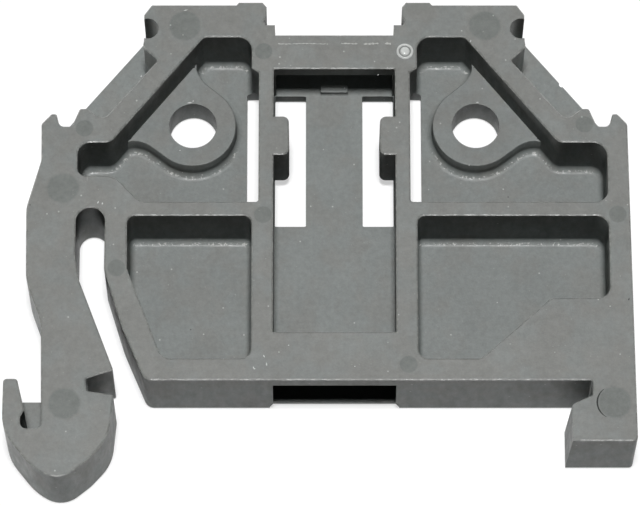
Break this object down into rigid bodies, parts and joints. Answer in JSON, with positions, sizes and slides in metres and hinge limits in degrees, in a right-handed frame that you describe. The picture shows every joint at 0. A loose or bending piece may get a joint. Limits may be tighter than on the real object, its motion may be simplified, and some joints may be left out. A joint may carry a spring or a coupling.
{
  "type": "din rail end stop",
  "caption": "Clip-on moulded end stop for a mounting rail, with a hook on a springy arm, a fixed foot, screw lugs, ribbed pockets and a marker sleeve.",
  "frame": {"origin": "on the face that sits on the rail, in the middle of the symmetrical upper part, at the plain back face", "axes": "+X across the rail from the hook towards the foot, +Y away from the rail, +Z from the plain back towards the ribbed side, along the rail"},
  "size_m": [0.0439, 0.0355, 0.006],
  "materials": {
    "moulding": "fine satin moulded surface, neutral grey"
  },
  "bodies": {
    "root": {"end_stop_body": "moulding"}
  },
  "joints": []
}
